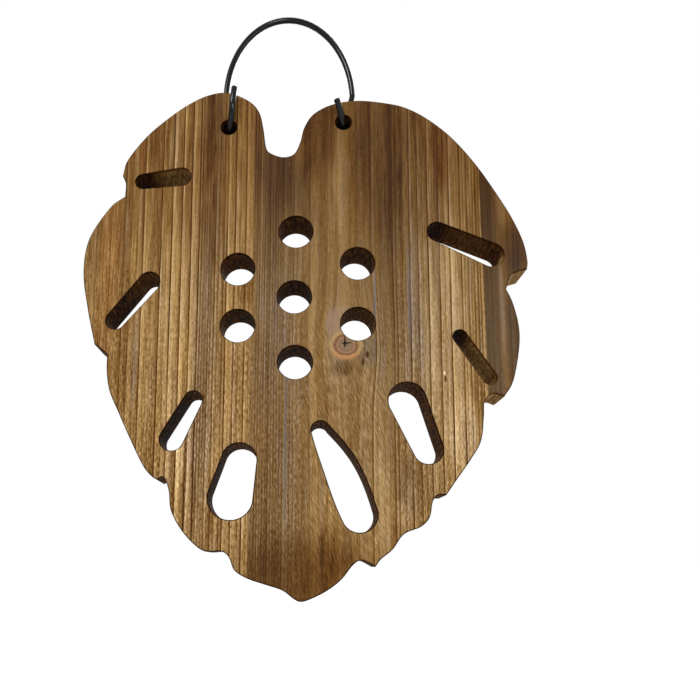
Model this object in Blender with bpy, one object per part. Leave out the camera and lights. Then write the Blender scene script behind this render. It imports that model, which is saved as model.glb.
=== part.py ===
"""Staghorn fern mounting board.

A leaf-shaped board, glued up from three softwood staves and bored for the plant's roots and
ties, hangs by two holes on the hooks of one bent wire. All sizes are in metres, +Z is up and
the plant side faces -Y. The origin is the hanging point: the underside of the wire's crown,
where the nail carries it.
"""

import math

import bmesh
import bpy
from mathutils import Vector

# Leaf board
LEAF_WIDTH = 0.207
LEAF_HEIGHT = 0.2457
BOARD_THICKNESS = 0.0175
RIM_ROUNDING = 0.0009

# Staves: the two outer ones are measured at the height of the middle plant hole
LEFT_STAVE_WIDTH = 0.0796
RIGHT_STAVE_WIDTH = 0.0213
GRAIN_LEAN = math.radians(2.4)
GLUE_LINE = 0.0003

# Bores
PLANT_HOLE_DIAMETER = 0.0156
HANGER_HOLE_DIAMETER = 0.0075

# Wire bail
WIRE_DIAMETER = 0.003
HOLE_CLEARANCE = 0.00027
HOOK_TWIST = 0.0024
BAIL_HEIGHT = 0.0682
ARCH_WIDTH = 0.0666
ARCH_SHIFT = 0.0022
LEG_RISE = 0.0199
BEND_RADIUS = 0.006
LEFT_HOOK_SWEEP = math.radians(180)
LEFT_STUB_LENGTH = 0.0075
LEFT_STUB_LEAN = math.radians(8)
RIGHT_HOOK_SWEEP = math.radians(150)
RIGHT_STUB_LENGTH = 0.0055
RIGHT_STUB_LEAN = math.radians(19)

# Fineness of the meshes
OUTLINE_STEP = 0.0028
ROUNDING_STEPS = 2
SLOT_END_STEP = math.radians(24)
PLANT_HOLE_SIDES = 32
HANGER_HOLE_SIDES = 24
BEND_STEP = math.radians(10)
ARCH_STEP = math.radians(8)
WIRE_BEVEL_RESOLUTION = 3
SHARP_ANGLE = math.radians(50)
WIDEST_MITRE = math.radians(50)
SAW_TOLERANCE = 0.000001

MM = 0.001

# Colours and surface finish
LEFT_WOOD_COLOUR = (0.30, 0.17, 0.08)
MIDDLE_WOOD_COLOUR = (0.27, 0.15, 0.07)
RIGHT_WOOD_COLOUR = (0.13, 0.085, 0.055)
WOOD_ROUGHNESS = 0.5
COATING_COLOUR = (0.02, 0.02, 0.022)
COATING_ROUGHNESS = 0.3
COATING_METALLIC = 0.4

# The leaf's edge in millimetres, clockwise from the left notch, seen from the plant side, with
# the middle plant hole at (0, 0). Each list is one smooth stretch that starts at a corner and
# ends where the next one starts.
LEAF_EDGE = [
    # left crest, the deep sinus between the lobes, right crest
    [(-81.0, 65.7), (-78.6, 74.2), (-69.4, 86.4), (-59.6, 95.3), (-49.3, 102.8), (-39.3, 107.6),
     (-29.5, 108.6), (-19.4, 103.8), (-14.2, 97.3), (-12.3, 88.0), (-11.2, 77.8), (-8.9, 74.4),
     (-3.2, 72.1), (2.2, 73.6), (5.4, 79.9), (7.6, 87.6), (12.5, 94.8), (22.0, 99.6), (34.5, 101.0),
     (49.2, 98.6), (58.5, 95.3), (68.5, 88.4), (78.8, 78.0), (88.6, 63.9), (97.0, 48.4),
     (103.2, 35.2), (107.1, 23.5), (108.2, 14.0)],
    # upper right notch
    [(107.6, 9.6), (103.2, 8.4), (99.6, 6.4)],
    # right lobe
    [(97.2, 0.2), (99.6, -6.6), (101.3, -18.2), (100.3, -29.0), (96.4, -43.5)],
    # lower right notch
    [(91.8, -50.6), (88.0, -49.2), (85.0, -50.0)],
    # lower right lobe
    [(82.6, -53.5), (81.9, -60.1), (79.8, -70.4), (74.7, -78.4), (68.1, -86.9)],
    # right teeth
    [(63.0, -93.6), (59.2, -93.7), (56.9, -96.4), (55.2, -102.9), (51.2, -106.9), (43.7, -109.9),
     (38.4, -116.3), (33.3, -120.2)],
    # tip of the leaf and the left teeth
    [(30.7, -123.4), (25.2, -120.6), (21.4, -122.2), (15.8, -128.5), (9.2, -133.1), (1.8, -136.4),
     (-1.9, -137.1), (-4.7, -135.8), (-9.4, -132.2), (-16.7, -129.6), (-23.9, -127.0),
     (-29.6, -123.3), (-32.0, -117.6), (-35.3, -115.1), (-42.3, -114.9), (-48.1, -110.7),
     (-53.5, -104.0), (-57.2, -96.4), (-58.1, -88.0), (-60.3, -82.3)],
    # lower left lobe
    [(-63.2, -83.2), (-66.2, -81.0), (-70.0, -75.9), (-76.1, -63.1), (-80.9, -52.2),
     (-85.2, -42.0), (-86.7, -32.8)],
    # lower left notch
    [(-86.7, -24.4)],
    # left lobe
    [(-92.7, -19.3), (-96.3, -2.0), (-98.8, 16.4), (-96.5, 33.3), (-87.0, 48.9)],
    # upper left notch
    [(-79.7, 54.7), (-79.5, 61.7)],
]

# Slots in millimetres: centre (x, z) and radius at each station along the slot's middle line
SLOTS = [
    [(-70.8, 62.0, 3.6), (-52.4, 63.7, 4.5)],
    [(-67.4, 10.1, 4.8), (-83.2, -8.2, 4.2)],
    [(-47.1, -47.4, 4.0), (-56.9, -65.0, 5.2)],
    [(-26.8, -75.6, 7.7), (-31.0, -91.9, 9.8)],
    [(9.6, -63.2, 4.1), (18.0, -80.5, 7.6), (25.0, -101.0, 7.7)],
    [(48.8, -51.0, 8.3), (56.5, -73.3, 6.4)],
    [(74.3, -22.0, 3.0), (86.1, -41.7, 3.0)],
    [(67.8, 29.9, 4.5), (91.9, 17.2, 5.6)],
]

# Centres of the bores in millimetres, placed by eye on the real board
PLANT_HOLES = [(0.0, 0.0), (1.8, 32.6), (29.9, 15.4), (28.6, -14.2), (-0.7, -31.4),
               (-26.5, -13.0), (-25.9, 14.8)]
LEFT_HANGER_HOLE = (-29.1, 89.2)
RIGHT_HANGER_HOLE = (26.7, 89.2)


def clear_scene():
    for old in list(bpy.data.objects):
        bpy.data.objects.remove(old, do_unlink=True)


def plain_material(name, colour, roughness, metallic):
    material = bpy.data.materials.new(name)
    material.use_nodes = True
    shader = material.node_tree.nodes["Principled BSDF"]
    shader.inputs["Base Color"].default_value = (*colour, 1.0)
    shader.inputs["Roughness"].default_value = roughness
    shader.inputs["Metallic"].default_value = metallic
    return material


def scorched_wood(name, colour):
    """Scorched and brushed softwood."""
    return plain_material(name, colour, WOOD_ROUGHNESS, 0.0)


def black_wire(name):
    """Gloss black coating on steel wire."""
    return plain_material(name, COATING_COLOUR, COATING_ROUGHNESS, COATING_METALLIC)


def smooth_stretch(points, step):
    """Points along a Catmull-Rom curve through the given ones, without the last."""
    ends = [2 * points[0] - points[1]] + points + [2 * points[-1] - points[-2]]
    curve = []
    for before, start, end, after in zip(ends, ends[1:], ends[2:], ends[3:]):
        pieces = max(1, round((end - start).length / step))
        for k in range(pieces):
            t = k / pieces
            curve.append(0.5 * (2 * start + (end - before) * t
                                + (2 * before - 5 * start + 4 * end - after) * t ** 2
                                + (3 * start - before - 3 * end + after) * t ** 3))
    return curve


def drawn_edge():
    """The leaf's edge as drawn, in millimetres."""
    edge = []
    for stretch, following in zip(LEAF_EDGE, LEAF_EDGE[1:] + LEAF_EDGE[:1]):
        points = [Vector(point) for point in stretch + following[:1]]
        edge += smooth_stretch(points, OUTLINE_STEP / MM)
    return edge


def leaf_scale(edge):
    """Metres per drawn millimetre across and up, which give the leaf its width and height."""
    across = [point.x for point in edge]
    up = [point.y for point in edge]
    return Vector((LEAF_WIDTH / (max(across) - min(across)), LEAF_HEIGHT / (max(up) - min(up))))


def on_leaf(point, scale):
    return Vector((point[0] * scale.x, point[1] * scale.y))


def circle_loop(centre, diameter, sides):
    """A round hole, counter-clockwise."""
    angles = [2 * math.pi * k / sides for k in range(sides)]
    return [centre + Vector((math.cos(a), math.sin(a))) * (diameter / 2) for a in angles]


def slot_loop(stations, scale):
    """A slot that tapers between its stations, counter-clockwise, with round ends."""
    middle = [on_leaf(station, scale) for station in stations]
    radii = [station[2] * MM for station in stations]
    spine = smooth_stretch(middle, OUTLINE_STEP) + middle[-1:]
    travelled = [0.0]
    for start, end in zip(spine, spine[1:]):
        travelled.append(travelled[-1] + (end - start).length)
    knots = [travelled[spine.index(min(spine, key=lambda p: (p - m).length))] for m in middle]
    widths = smooth_widths(knots, radii, travelled)
    right, left = [], []
    for k, point in enumerate(spine):
        ahead = (spine[min(k + 1, len(spine) - 1)] - spine[max(k - 1, 0)]).normalized()
        right.append(point + Vector((ahead.y, -ahead.x)) * widths[k])
        left.append(point + Vector((-ahead.y, ahead.x)) * widths[k])
    far = round_end(spine[-1], spine[-1] - spine[-2], widths[-1])
    near = round_end(spine[0], spine[0] - spine[1], widths[0])
    return right + far + left[::-1] + near


def smooth_widths(knots, radii, travelled):
    """Radius at each distance along the slot, on a curve through the stations' radii."""
    widths = []
    for distance in travelled:
        total = 0.0
        for i, radius in enumerate(radii):
            weight = 1.0
            for j, knot in enumerate(knots):
                if j != i:
                    weight *= (distance - knot) / (knots[i] - knot)
            total += radius * weight
        widths.append(total)
    return widths


def round_end(centre, outward, radius):
    """The inner points of the half circle that closes a slot."""
    heading = math.atan2(outward.y, outward.x)
    count = round(math.pi / SLOT_END_STEP)
    angles = [heading - math.pi / 2 + math.pi * k / count for k in range(1, count)]
    return [centre + Vector((math.cos(a), math.sin(a))) * radius for a in angles]


def moved_into_wood(loop, distance):
    """The loop moved square to itself into the wood, which lies on the right of its travel."""
    moved = []
    for k, point in enumerate(loop):
        arriving = (point - loop[k - 1]).normalized()
        leaving = (loop[(k + 1) % len(loop)] - point).normalized()
        along = (arriving + leaving).normalized()
        inward = Vector((along.y, -along.x))
        corner = max(along.dot(leaving), math.cos(WIDEST_MITRE))
        moved.append(point + inward * (distance / corner))
    return moved


def rim_profile():
    """Pairs of distance into the wood and depth from the front, around the board's edge."""
    front = []
    for k in range(ROUNDING_STEPS + 1):
        turn = math.pi / 2 * k / ROUNDING_STEPS
        front.append((RIM_ROUNDING * (1 - math.sin(turn)), RIM_ROUNDING * (1 - math.cos(turn))))
    back = [(inset, BOARD_THICKNESS - depth) for inset, depth in reversed(front)]
    return front + back


def add_walls(bm, loop):
    """Rings of faces along one edge of the board. Returns its front and back rim edges."""
    rings = []
    for inset, depth in rim_profile():
        points = moved_into_wood(loop, inset)
        rings.append([bm.verts.new((p.x, depth, p.y)) for p in points])
    for ring, following in zip(rings, rings[1:]):
        for k in range(len(ring)):
            j = (k + 1) % len(ring)
            bm.faces.new((ring[k], ring[j], following[j], following[k]))
    rims = []
    for ring in (rings[0], rings[-1]):
        rims.append([bm.edges.get((ring[k - 1], ring[k])) for k in range(len(ring))])
    return rims


def leaf_board():
    """The whole board before it is parted into staves, and the scale that placed its features."""
    edge = drawn_edge()
    scale = leaf_scale(edge)
    loops = [[on_leaf(point, scale) for point in edge]]
    loops += [slot_loop(stations, scale) for stations in SLOTS]
    for centre in PLANT_HOLES:
        loops.append(circle_loop(on_leaf(centre, scale), PLANT_HOLE_DIAMETER, PLANT_HOLE_SIDES))
    for centre in (LEFT_HANGER_HOLE, RIGHT_HANGER_HOLE):
        loops.append(circle_loop(on_leaf(centre, scale), HANGER_HOLE_DIAMETER, HANGER_HOLE_SIDES))
    bm = bmesh.new()
    front_rims, back_rims = [], []
    for loop in loops:
        front, back = add_walls(bm, loop)
        front_rims += front
        back_rims += back
    for rims in (front_rims, back_rims):
        bmesh.ops.triangle_fill(bm, use_beauty=True, edges=rims)
    bmesh.ops.recalc_face_normals(bm, faces=bm.faces)
    left_side = min(point.x for point in loops[0])
    return bm, scale, left_side


def cut_away(bm, joint_x, towards):
    """Saw the board along a glue joint and drop what lies towards +1 (right) or -1 (left)."""
    grain_square = Vector((math.cos(GRAIN_LEAN), 0.0, -math.sin(GRAIN_LEAN)))
    face = Vector((joint_x, 0.0, 0.0)) - grain_square * (towards * GLUE_LINE / 2)
    geometry = list(bm.verts) + list(bm.edges) + list(bm.faces)
    bmesh.ops.bisect_plane(bm, geom=geometry, plane_co=face, plane_no=grain_square * towards,
                           dist=SAW_TOLERANCE, clear_outer=True)
    bmesh.ops.holes_fill(bm, edges=[edge for edge in bm.edges if edge.is_boundary], sides=0)


def add_stave(name, board, cuts, material, parent, place):
    """One stave: the board sawn along each of its joints."""
    bm = board.copy()
    for joint_x, towards in cuts:
        cut_away(bm, joint_x, towards)
    bmesh.ops.triangulate(bm, faces=bm.faces)
    bmesh.ops.recalc_face_normals(bm, faces=bm.faces)
    mesh = bpy.data.meshes.new(name)
    bm.to_mesh(mesh)
    bm.free()
    mesh.materials.append(material)
    mesh.shade_smooth()
    mesh.set_sharp_from_angle(angle=SHARP_ANGLE)
    stave = bpy.data.objects.new(name, mesh)
    bpy.context.collection.objects.link(stave)
    stave.parent = parent
    stave.location = place
    return stave


def hook_radius():
    """The tightest bend that passes a hanger hole with the clearance above and below the wire."""
    half_wire = WIRE_DIAMETER / 2
    half_board = BOARD_THICKNESS / 2
    slack = HANGER_HOLE_DIAMETER - WIRE_DIAMETER - 2 * HOLE_CLEARANCE
    reach = slack + half_wire
    return (half_board ** 2 + reach ** 2 - half_wire ** 2) / (2 * slack)


def hook_rise():
    """Height of the hook's centre over the centre of its hole."""
    lowest = HANGER_HOLE_DIAMETER / 2 - WIRE_DIAMETER / 2 - HOLE_CLEARANCE
    return hook_radius() - lowest


def hook(eye_x, outboard, sweep, stub_length, stub_lean):
    """The wire from the leg behind the board, down through a hole and up to the stub's tip."""
    radius = hook_radius()
    steps = round(sweep / BEND_STEP)
    bend = []
    for k in range(steps + 1):
        angle = sweep * k / steps
        bend.append(Vector((eye_x + outboard * HOOK_TWIST * math.cos(angle) ** 3,
                            radius * (math.cos(angle) - 1),
                            hinge_height() - radius * math.sin(angle))))
    straight_on = Vector((0.0, -math.sin(sweep), -math.cos(sweep))) * math.cos(stub_lean)
    inboard = Vector((-outboard * math.sin(stub_lean), 0.0, 0.0))
    return bend + [bend[-1] + (straight_on + inboard) * stub_length]


def hinge_height():
    """Height of the hooks' common centre line, counted from the hanging point."""
    return WIRE_DIAMETER / 2 - BAIL_HEIGHT


def rounded_corner(before, corner, after):
    """Points of the bend that rounds one corner of the wire."""
    arriving = (corner - before).normalized()
    leaving = (after - corner).normalized()
    turn = arriving.angle(leaving)
    trim = BEND_RADIUS * math.tan(turn / 2)
    steps = max(2, round(turn / BEND_STEP))
    start, end = corner - arriving * trim, corner + leaving * trim
    bend = []
    for k in range(steps + 1):
        t = k / steps
        bend.append(start * (1 - t) ** 2 + corner * (2 * t * (1 - t)) + end * t ** 2)
    return bend


def arch_point(angle):
    """A point on the half ellipse between the legs, at 0 on the right and pi on the left."""
    base = hinge_height() + LEG_RISE
    return Vector((ARCH_WIDTH / 2 * math.cos(angle), 0.0,
                   base + (BAIL_HEIGHT - LEG_RISE) * math.sin(angle)))


def bail_path(left_eye, right_eye):
    """The wire's centre line from the left stub over the crown to the right stub."""
    left_hook = hook(left_eye, -1, LEFT_HOOK_SWEEP, LEFT_STUB_LENGTH, LEFT_STUB_LEAN)
    right_hook = hook(right_eye, 1, RIGHT_HOOK_SWEEP, RIGHT_STUB_LENGTH, RIGHT_STUB_LEAN)
    count = round(math.pi / ARCH_STEP)
    arch = [arch_point(math.pi - math.pi * k / count) for k in range(1, count)]
    left_leg = rounded_corner(left_hook[0], arch_point(math.pi), arch[0])
    right_leg = rounded_corner(arch[-1], arch_point(0.0), right_hook[0])
    return left_hook[::-1] + left_leg + arch + right_leg + right_hook


def add_bail(path, material):
    curve = bpy.data.curves.new("wire_bail", "CURVE")
    curve.dimensions = "3D"
    curve.bevel_depth = WIRE_DIAMETER / 2
    curve.bevel_resolution = WIRE_BEVEL_RESOLUTION
    curve.use_fill_caps = True
    spline = curve.splines.new("POLY")
    spline.points.add(len(path) - 1)
    for point, place in zip(spline.points, path):
        point.co = (*place, 1.0)
    curve.materials.append(material)
    bail = bpy.data.objects.new("wire_bail", curve)
    bpy.context.collection.objects.link(bail)
    return bail


def main():
    clear_scene()
    board, scale, left_side = leaf_board()
    left_eye = on_leaf(LEFT_HANGER_HOLE, scale)
    right_eye = on_leaf(RIGHT_HANGER_HOLE, scale)
    eyes_middle = (left_eye + right_eye) / 2

    hinge = bpy.data.objects.new("board_hinge", None)
    hinge.location = (-ARCH_SHIFT, -hook_radius(), hinge_height())
    bpy.context.collection.objects.link(hinge)
    place = (-eyes_middle.x, -BOARD_THICKNESS / 2, -eyes_middle.y - hook_rise())

    left_joint = left_side + LEFT_STAVE_WIDTH
    right_joint = left_side + LEAF_WIDTH - RIGHT_STAVE_WIDTH
    add_stave("left_stave", board, [(left_joint, 1)],
              scorched_wood("scorched_fir_left", LEFT_WOOD_COLOUR), hinge, place)
    add_stave("middle_stave", board, [(left_joint, -1), (right_joint, 1)],
              scorched_wood("scorched_fir_middle", MIDDLE_WOOD_COLOUR), hinge, place)
    add_stave("right_stave", board, [(right_joint, -1)],
              scorched_wood("scorched_fir_right", RIGHT_WOOD_COLOUR), hinge, place)
    board.free()

    eye_shift = hinge.location.x - eyes_middle.x
    add_bail(bail_path(left_eye.x + eye_shift, right_eye.x + eye_shift),
             black_wire("black_coated_wire"))


main()
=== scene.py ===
# %% [markdown]
# A staghorn fern mounting board
#
# The object is a leaf sawn from a scorched and brushed softwood board. Seven holes and eight
# slots take the fern's roots and ties, and one bent black wire carries the board from a nail.
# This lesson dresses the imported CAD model: it rebuilds the three staves and the wire finer than
# the CAD has them, and gives them wood grain, char and a gloss coating.
#
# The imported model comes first. It fixes every place and size, so nothing is fitted by eye.

import math

import bmesh
import bpy
from mathutils import Matrix, Vector


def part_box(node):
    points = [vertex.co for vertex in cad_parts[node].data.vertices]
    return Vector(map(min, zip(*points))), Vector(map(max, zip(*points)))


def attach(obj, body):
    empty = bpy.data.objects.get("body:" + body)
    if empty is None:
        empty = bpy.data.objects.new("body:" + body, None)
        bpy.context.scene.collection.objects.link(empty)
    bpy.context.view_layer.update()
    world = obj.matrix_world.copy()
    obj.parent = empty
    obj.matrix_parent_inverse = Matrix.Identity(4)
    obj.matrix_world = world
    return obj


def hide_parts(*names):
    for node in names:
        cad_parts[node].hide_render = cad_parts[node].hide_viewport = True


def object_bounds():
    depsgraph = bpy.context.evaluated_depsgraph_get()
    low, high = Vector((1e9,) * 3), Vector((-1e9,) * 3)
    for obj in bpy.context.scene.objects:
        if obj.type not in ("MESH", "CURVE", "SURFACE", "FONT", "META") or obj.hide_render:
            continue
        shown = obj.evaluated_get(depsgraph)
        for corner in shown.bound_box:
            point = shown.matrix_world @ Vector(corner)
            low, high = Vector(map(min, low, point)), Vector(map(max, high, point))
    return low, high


MM = 0.001


def in_mm(corners):
    """Corners in rounded millimetres."""
    return [[round(c / MM, 1) for c in corner] for corner in corners]


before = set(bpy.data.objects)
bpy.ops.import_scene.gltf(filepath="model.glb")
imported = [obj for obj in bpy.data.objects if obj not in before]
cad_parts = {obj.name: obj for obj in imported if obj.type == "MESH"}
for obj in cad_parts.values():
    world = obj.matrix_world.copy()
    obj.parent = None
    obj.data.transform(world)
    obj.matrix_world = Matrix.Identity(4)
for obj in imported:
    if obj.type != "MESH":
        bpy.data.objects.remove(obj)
cad_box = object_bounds()
print("CAD box in mm:", in_mm(cad_box))

# %% [markdown]
# The camera
#
# A photograph is matched by putting the camera where it really stood. This one stood a little
# below the board's middle and 0.28 m in front of it, and looked up at it. The lens's centre
# doesn't fall on the picture's middle, because the picture was cropped, so the camera is shifted
# by that much and no more.

# %% Place the camera
PICTURE_SIDE = 700
SENSOR_WIDTH = 36.0
NEAR_CLIP = 0.01
FOCAL_LENGTH_PIXELS = 652.96
LENS_CENTRE_X = 275.21
LENS_CENTRE_Y = 440.0
CAMERA_PLACE = Vector((-0.004211, -0.305778, -0.287906))
CAMERA_TILT = 0.18782
CAMERA_YAW = -0.02597
CAMERA_ROLL = -0.02669


def camera_turn():
    """The camera's rotation from its tilt, yaw and roll in radians."""
    forward = Vector((math.sin(CAMERA_YAW) * math.cos(CAMERA_TILT),
                      math.cos(CAMERA_YAW) * math.cos(CAMERA_TILT),
                      math.sin(CAMERA_TILT)))
    level = Vector((math.cos(CAMERA_YAW), -math.sin(CAMERA_YAW), 0.0))
    upright = level.cross(forward)
    right = level * math.cos(CAMERA_ROLL) + upright * math.sin(CAMERA_ROLL)
    up = upright * math.cos(CAMERA_ROLL) - level * math.sin(CAMERA_ROLL)
    return Matrix((right, up, -forward)).transposed()


def placed(name, data):
    """An object that shows some data, placed in the scene."""
    thing = bpy.data.objects.new(name, data)
    bpy.context.scene.collection.objects.link(thing)
    return thing


camera = placed("camera", bpy.data.cameras.new("camera"))
camera.data.sensor_width = SENSOR_WIDTH
camera.data.lens = FOCAL_LENGTH_PIXELS * SENSOR_WIDTH / PICTURE_SIDE
camera.data.shift_x = (PICTURE_SIDE / 2 - LENS_CENTRE_X) / PICTURE_SIDE
camera.data.shift_y = (LENS_CENTRE_Y - PICTURE_SIDE / 2) / PICTURE_SIDE
camera.data.clip_start = NEAR_CLIP
camera.matrix_world = Matrix.Translation(CAMERA_PLACE) @ camera_turn().to_4x4()
bpy.context.scene.camera = camera
print("Lens in mm:", round(camera.data.lens, 1), "shift:",
      [round(shift, 3) for shift in (camera.data.shift_x, camera.data.shift_y)])

# %% [markdown]
# The leaf's edge
#
# On the real board a jigsaw followed a drawn line, so the edge is a chain of smooth stretches
# that meet at corners, where the saw turned. The points are millimetres from the middle plant
# hole, clockwise, seen from the plant side.

# %% List the leaf's edge
LEAF_WIDTH = 0.207
LEAF_HEIGHT = 0.2457
LEAF_EDGE = [
    # left crest, the deep sinus between the lobes, right crest
    [(-81.0, 65.7), (-78.6, 74.2), (-69.4, 86.4), (-59.6, 95.3), (-49.3, 102.8), (-39.3, 107.6),
     (-29.5, 108.6), (-19.4, 103.8), (-14.2, 97.3), (-12.3, 88.0), (-11.2, 77.8), (-8.9, 74.4),
     (-3.2, 72.1), (2.2, 73.6), (5.4, 79.9), (7.6, 87.6), (12.5, 94.8), (22.0, 99.6), (34.5, 101.0),
     (49.2, 98.6), (58.5, 95.3), (68.5, 88.4), (78.8, 78.0), (88.6, 63.9), (97.0, 48.4),
     (103.2, 35.2), (107.1, 23.5), (108.2, 14.0)],
    # upper right notch
    [(107.6, 9.6), (103.2, 8.4), (99.6, 6.4)],
    # right lobe
    [(97.2, 0.2), (99.6, -6.6), (101.3, -18.2), (100.3, -29.0), (96.4, -43.5)],
    # lower right notch
    [(91.8, -50.6), (88.0, -49.2), (85.0, -50.0)],
    # lower right lobe
    [(82.6, -53.5), (81.9, -60.1), (79.8, -70.4), (74.7, -78.4), (68.1, -86.9)],
    # right teeth
    [(63.0, -93.6), (59.2, -93.7), (56.9, -96.4), (55.2, -102.9), (51.2, -106.9), (43.7, -109.9),
     (38.4, -116.3), (33.3, -120.2)],
    # tip of the leaf and the left teeth
    [(30.7, -123.4), (25.2, -120.6), (21.4, -122.2), (15.8, -128.5), (9.2, -133.1), (1.8, -136.4),
     (-1.9, -137.1), (-4.7, -135.8), (-9.4, -132.2), (-16.7, -129.6), (-23.9, -127.0),
     (-29.6, -123.3), (-32.0, -117.6), (-35.3, -115.1), (-42.3, -114.9), (-48.1, -110.7),
     (-53.5, -104.0), (-57.2, -96.4), (-58.1, -88.0), (-60.3, -82.3)],
    # lower left lobe
    [(-63.2, -83.2), (-66.2, -81.0), (-70.0, -75.9), (-76.1, -63.1), (-80.9, -52.2),
     (-85.2, -42.0), (-86.7, -32.8)],
    # lower left notch
    [(-86.7, -24.4)],
    # left lobe
    [(-92.7, -19.3), (-96.3, -2.0), (-98.8, 16.4), (-96.5, 33.3), (-87.0, 48.9)],
    # upper left notch
    [(-79.7, 54.7), (-79.5, 61.7)],
]
print("Stretches of the edge:", len(LEAF_EDGE))

# %% [markdown]
# A Catmull-Rom curve passes through every given point, which a Bezier curve by hand does only
# with handles to look after. Each stretch is drawn on its own, so its corners stay sharp.

# %% Draw the leaf's edge
EDGE_STEP = 0.0009


def smooth_stretch(points, step):
    """Points along a Catmull-Rom curve through the given ones, without the last."""
    ends = [2 * points[0] - points[1]] + points + [2 * points[-1] - points[-2]]
    curve = []
    for before, start, end, after in zip(ends, ends[1:], ends[2:], ends[3:]):
        pieces = max(1, round((end - start).length / step))
        for k in range(pieces):
            t = k / pieces
            curve.append(0.5 * (2 * start + (end - before) * t
                                + (2 * before - 5 * start + 4 * end - after) * t ** 2
                                + (3 * start - before - 3 * end + after) * t ** 3))
    return curve


drawn_edge = []
for stretch, following in zip(LEAF_EDGE, LEAF_EDGE[1:] + LEAF_EDGE[:1]):
    corner_to_corner = [Vector(point) for point in stretch + following[:1]]
    drawn_edge += smooth_stretch(corner_to_corner, EDGE_STEP / MM)
drawn_low = Vector((min(p.x for p in drawn_edge), min(p.y for p in drawn_edge)))
drawn_high = Vector((max(p.x for p in drawn_edge), max(p.y for p in drawn_edge)))
leaf_scale = Vector((LEAF_WIDTH / (drawn_high.x - drawn_low.x),
                     LEAF_HEIGHT / (drawn_high.y - drawn_low.y)))


def on_leaf(point):
    """A drawn point in metres, from the middle plant hole."""
    return Vector((point[0] * leaf_scale.x, point[1] * leaf_scale.y))


leaf_edge = [on_leaf(point) for point in drawn_edge]
print("Leaf edge:", len(leaf_edge), "points")

# %% [markdown]
# Where the leaf hangs
#
# The CAD staves say where the board is. The middle plant hole's centre is found from the packed
# boxes, so the dressed board lies exactly on the CAD one even if that is moved.

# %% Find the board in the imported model
left_low, left_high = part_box("left_stave")
middle_low, middle_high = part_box("middle_stave")
right_low, right_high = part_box("right_stave")
FRONT = left_low.y
BACK = left_high.y
leaf_place = Vector((left_low.x - on_leaf(drawn_low).x, FRONT, middle_low.z - on_leaf(drawn_low).y))
print("Middle plant hole in mm:", in_mm([leaf_place]))
print("Stave widths in mm:", in_mm([(left_high.x - left_low.x, middle_high.x - middle_low.x,
                                     right_high.x - right_low.x)]))

# %% [markdown]
# The slots
#
# The slots stand for the openings in a real leaf. Each is sawn between two or three drilled
# holes, so it widens and narrows. It is drawn as a middle line with a radius at each station,
# and the two sides run at that radius on either hand. A boolean of a cutter would do too, but a
# drawn loop keeps an even row of points along the rim, which the rounding needs.

# %% Draw the slots
SLOT_STEP = 0.0009
SLOT_END_STEP = math.radians(9)
SLOTS = [
    [(-70.8, 62.0, 3.6), (-52.4, 63.7, 4.5)],
    [(-67.4, 10.1, 4.8), (-83.2, -8.2, 4.2)],
    [(-47.1, -47.4, 4.0), (-56.9, -65.0, 5.2)],
    [(-26.8, -75.6, 7.7), (-31.0, -91.9, 9.8)],
    [(9.6, -63.2, 4.1), (18.0, -80.5, 7.6), (25.0, -101.0, 7.7)],
    [(48.8, -51.0, 8.3), (56.5, -73.3, 6.4)],
    [(74.3, -22.0, 3.0), (86.1, -41.7, 3.0)],
    [(67.8, 29.9, 4.5), (91.9, 17.2, 5.6)],
]


def radius_along(knots, radii, distance):
    """Radius at a distance along the slot, on the curve through its stations' radii."""
    return sum(radius * math.prod((distance - other) / (knot - other) for other in knots if other != knot)
               for knot, radius in zip(knots, radii))


def round_end(centre, outward, radius):
    """The inner points of the half circle that closes a slot."""
    heading = math.atan2(outward.y, outward.x)
    count = round(math.pi / SLOT_END_STEP)
    angles = [heading - math.pi / 2 + math.pi * k / count for k in range(1, count)]
    return [centre + Vector((math.cos(a), math.sin(a))) * radius for a in angles]


def slot_loop(stations):
    """The rim of one slot, counter-clockwise."""
    middle = [on_leaf(station) for station in stations]
    radii = [station[2] * MM for station in stations]
    spine = smooth_stretch(middle, SLOT_STEP) + middle[-1:]
    travelled = [0.0]
    for start, end in zip(spine, spine[1:]):
        travelled.append(travelled[-1] + (end - start).length)
    knots = [travelled[spine.index(min(spine, key=lambda p: (p - m).length))] for m in middle]
    widths = [radius_along(knots, radii, distance) for distance in travelled]
    right, left = [], []
    for k, point in enumerate(spine):
        ahead = (spine[min(k + 1, len(spine) - 1)] - spine[max(k - 1, 0)]).normalized()
        right.append(point + Vector((ahead.y, -ahead.x)) * widths[k])
        left.append(point + Vector((-ahead.y, ahead.x)) * widths[k])
    far = round_end(spine[-1], spine[-1] - spine[-2], widths[-1])
    near = round_end(spine[0], spine[0] - spine[1], widths[0])
    return right + far + left[::-1] + near


slot_rims = [slot_loop(stations) for stations in SLOTS]
print("Slots:", len(slot_rims), "with", sum(len(rim) for rim in slot_rims), "points")

# %% [markdown]
# Walls with a sanded rim
#
# Every sawn wall of the board meets the faces in a small rounding, where sandpaper broke the
# edge. A Bevel modifier would have to sort out thin slivers where a slot meets its round end.
# Sweeping a profile of inset and depth along each loop gives the wall and both roundings at
# once, with no slivers.

# %% Sweep the walls of the edge and the slots
RIM_ROUNDING = 0.0009
ROUNDING_STEPS = 5
WIDEST_MITRE = math.radians(50)
BOARD_THICKNESS = BACK - FRONT


def rim_profile():
    """Pairs of distance into the wood and depth from the front, around the board's edge."""
    front = []
    for k in range(ROUNDING_STEPS + 1):
        turn = math.pi / 2 * k / ROUNDING_STEPS
        front.append((RIM_ROUNDING * (1 - math.sin(turn)), RIM_ROUNDING * (1 - math.cos(turn))))
    return front + [(inset, BOARD_THICKNESS - depth) for inset, depth in reversed(front)]


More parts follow.
